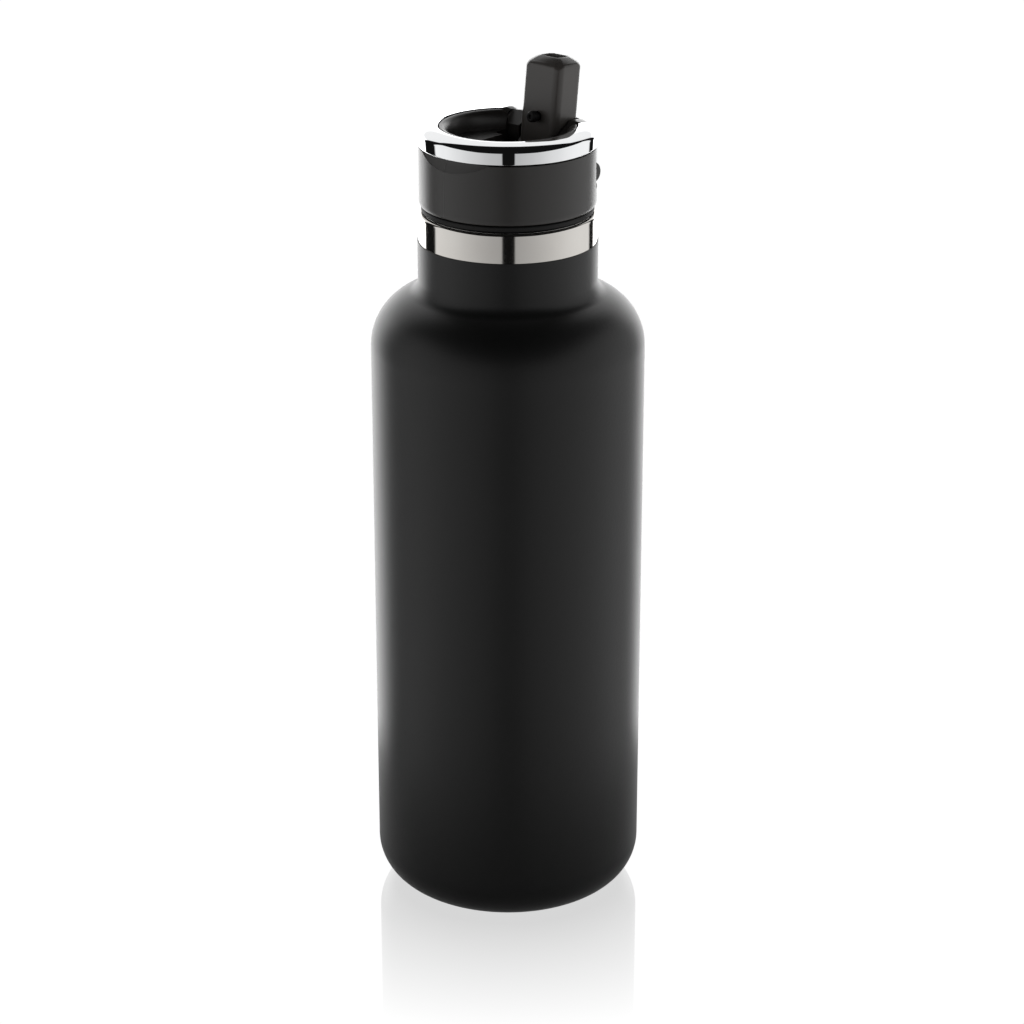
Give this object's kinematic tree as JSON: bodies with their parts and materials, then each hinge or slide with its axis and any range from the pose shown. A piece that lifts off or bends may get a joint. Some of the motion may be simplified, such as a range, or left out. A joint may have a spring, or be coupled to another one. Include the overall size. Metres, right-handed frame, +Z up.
{
  "type": "water bottle",
  "caption": "Insulated steel bottle with a screw lid, a flip-up drinking spout that folds into a bowl, a straw and a chrome carry ring that swings up.",
  "frame": {"origin": "centre of the base, on the surface the bottle stands on", "axes": "+Z up along the bottle's axis; -Y towards the lid's front, where the thumb notch is; +X along the pivots of the spout and the carry ring"},
  "size_m": [0.073, 0.073, 0.2322],
  "materials": {
    "coat": "satin black powder coat",
    "steel": "plain stainless steel",
    "chrome": "bright chrome plate",
    "satin_plastic": "satin black",
    "gloss_plastic": "glossy black",
    "silicone": "matt black silicone",
    "straw_plastic": "milky",
    "solder_glass": "opaque bead"
  },
  "bodies": {
    "bottle": {"outer_shell": "coat", "inner_liner": "steel", "shell_bottom": "steel", "base_disc": "steel", "getter": "steel", "vacuum_seal": "solder_glass"},
    "gasket": {"lid_gasket": "silicone"},
    "lid": {"lid_housing": "satin_plastic", "lid_deck": "gloss_plastic", "lid_stopper": "satin_plastic", "handle_pin_left": "satin_plastic", "handle_pin_right": "satin_plastic", "spout_pin_left": "steel", "spout_pin_right": "steel", "spout_seal": "silicone", "vent_valve": "silicone", "straw_socket": "silicone", "straw": "straw_plastic"},
    "spout": {"spout": "satin_plastic", "vent_plug": "silicone"},
    "handle": {"handle_ring": "chrome"}
  },
  "joints": [
    {"name": "lid_rise", "type": "slide", "parent": "bottle", "child": "gasket", "axis": [0, 0, 1], "range_m": [0, 0.0091]},
    {"name": "lid_turn", "type": "hinge", "parent": "gasket", "child": "lid", "pos_m": [0, 0, 0.2], "axis": [0, 0, 1], "range_deg": [0, 810]},
    {"name": "spout_fold", "type": "hinge", "parent": "lid", "child": "spout", "pos_m": [0, 0.0154, 0.2067], "axis": [1, 0, 0], "range_deg": [0, 96.7]},
    {"name": "handle_swing", "type": "hinge", "parent": "lid", "child": "handle", "pos_m": [0, 0.0151, 0.2034], "axis": [-1, 0, 0], "range_deg": [0, 90]}
  ],
  "couplings": [
    {"joint": "lid_rise", "follows": "lid_turn", "m_per_rad": 0.00063662}
  ]
}
